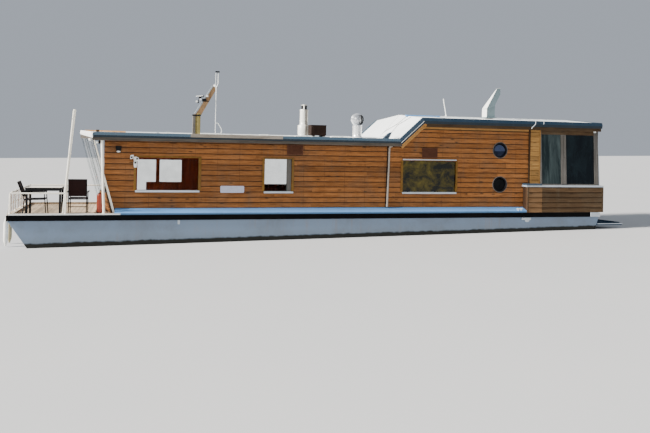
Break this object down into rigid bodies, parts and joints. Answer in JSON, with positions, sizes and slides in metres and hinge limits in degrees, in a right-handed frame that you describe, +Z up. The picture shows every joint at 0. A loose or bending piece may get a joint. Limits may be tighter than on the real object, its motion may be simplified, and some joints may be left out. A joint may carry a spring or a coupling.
{
  "type": "houseboat",
  "caption": "Flat-bottomed houseboat with a timber cabin, a stepped roof, an open terrace at one end and a glazed bay at the other.",
  "frame": {"origin": "midships on the centreline, on the flat bottom of the hull", "axes": "+X along the boat towards the glazed bay, +Y across towards the far side, +Z up"},
  "size_m": [17.992, 3.5906, 4.923],
  "materials": {
    "hull_paint": "weathered gloss",
    "deck_board": "painted, worn",
    "rub_rubber": "matt",
    "flashing": "satin",
    "cladding": "stained, weathered",
    "bay_cladding": "weathered",
    "roof_sheet": "satin",
    "glazing": "clear",
    "lining": "matt",
    "sheet_metal": "weathered",
    "stainless": "brushed",
    "white_paint": "satin",
    "mast_timber": "weathered",
    "dark_box": "matt",
    "furniture": "satin",
    "fender_vinyl": "satin",
    "red_paint": "gloss",
    "navy_paint": "satin"
  },
  "bodies": {
    "boat": {"hull": "hull_paint", "deck": "deck_board", "rub_band": "rub_rubber", "coaming_near": "flashing", "coaming_far": "flashing", "boarding_step": "navy_paint", "side_wall_near": "cladding", "side_wall_far": "cladding", "window_near_1": "glazing", "window_near_2": "glazing", "window_near_3": "glazing", "window_far_1": "glazing", "window_far_2": "glazing", "window_far_3": "glazing", "porthole_upper": "glazing", "porthole_lower": "glazing", "corner_window_near": "glazing", "corner_window_far": "glazing", "end_parapet_near": "cladding", "end_window_near": "glazing", "end_post": "white_paint", "end_parapet_far": "cladding", "end_window_far": "glazing", "bay_bulwark": "bay_cladding", "bay_cap": "sheet_metal", "bay_window_near": "glazing", "bay_window_far": "glazing", "bay_window_end": "glazing", "roof_lower": "roof_sheet", "roof_slope": "roof_sheet", "roof_upper": "roof_sheet", "bulkhead_left": "lining", "bulkhead_right": "lining", "flue": "stainless", "roof_box": "dark_box", "vent_stem": "sheet_metal", "bent_duct": "sheet_metal", "mast": "mast_timber", "antenna": "sheet_metal", "whip": "white_paint", "downpipe": "white_paint", "post_near": "white_paint", "post_far": "white_paint", "terrace_rail": "white_paint", "leaning_pole": "white_paint", "fender_1": "fender_vinyl", "fender_2": "fender_vinyl", "extinguisher": "red_paint", "table": "furniture", "chair_1": "furniture", "chair_2": "furniture"},
    "rotor": {"vent_head": "sheet_metal"},
    "door": {"sliding_door": "glazing"}
  },
  "joints": [
    {"name": "vent_spin", "type": "hinge", "parent": "boat", "child": "rotor", "pos_m": [0.677, -1.4, 3.6], "axis": [0, 0, 1], "continuous": true},
    {"name": "door_slide", "type": "slide", "parent": "boat", "child": "door", "axis": [0.2358, 0.9718, 0], "range_m": [0, 0.69]}
  ]
}
